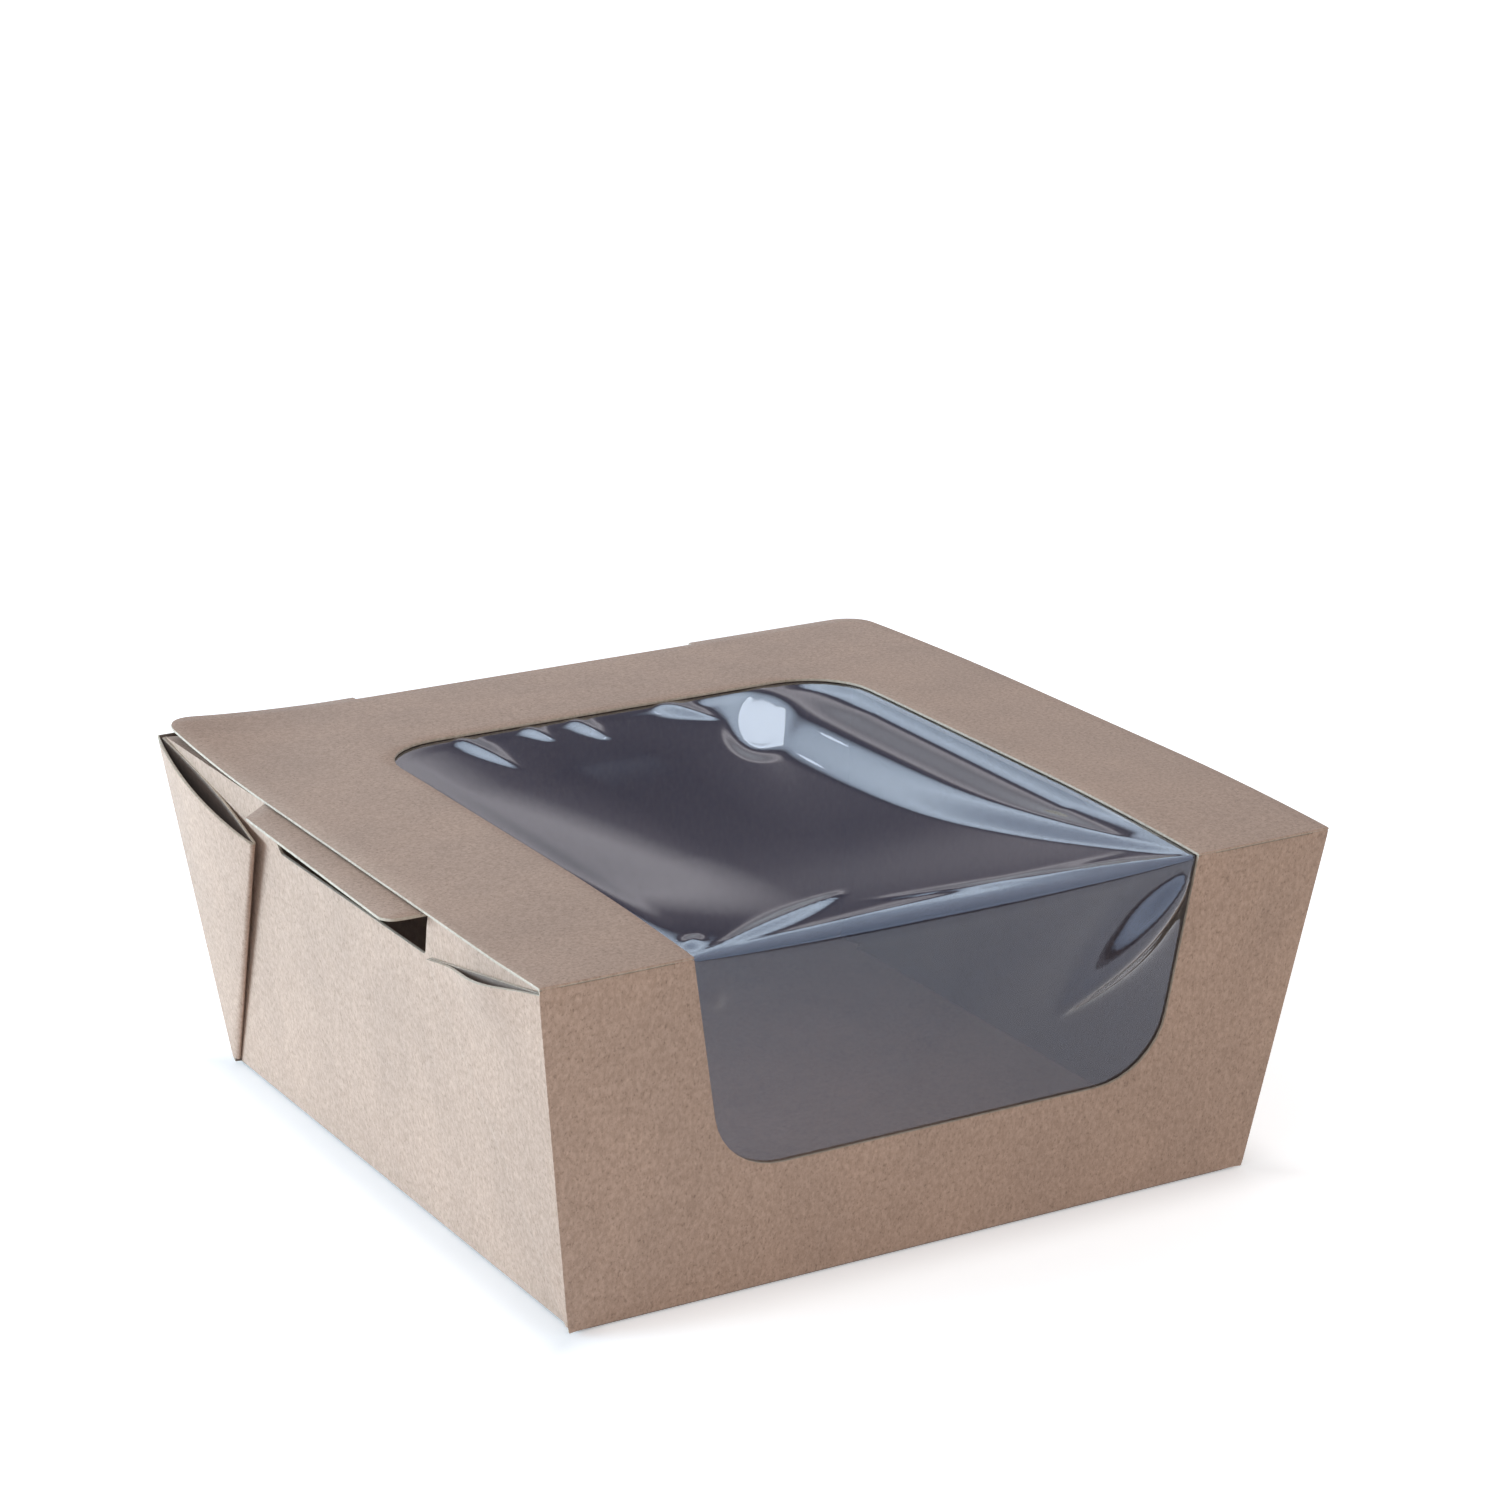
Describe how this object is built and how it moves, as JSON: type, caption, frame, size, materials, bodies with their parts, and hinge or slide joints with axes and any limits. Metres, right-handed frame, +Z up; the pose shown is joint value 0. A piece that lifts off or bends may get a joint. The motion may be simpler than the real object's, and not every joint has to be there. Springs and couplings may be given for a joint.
{
  "type": "hot food box",
  "caption": "Square folded kraft board takeaway box with leaning walls, webbed corners and a hinged lid, with a clear film window that runs over the lid's fold.",
  "frame": {"origin": "middle of the underside of the bottom panel", "axes": "+Z up, -Y the front panel that carries the window and the lid's hinge, +X to the right seen from the front"},
  "size_m": [0.1633, 0.1522, 0.0667],
  "materials": {
    "kraft_board": "uncoated brown kraft board, matte",
    "window_film": "clear glossy film, slightly slack"
  },
  "bodies": {
    "tray": {"carton_tray": "kraft_board", "window_film_front": "window_film"},
    "lid": {"carton_lid": "kraft_board", "window_film_lid": "window_film"}
  },
  "joints": [
    {"name": "lid_hinge", "type": "hinge", "parent": "tray", "child": "lid", "pos_m": [0, -0.07575, 0.064], "axis": [1, 0, 0], "range_deg": [0, 100]}
  ]
}
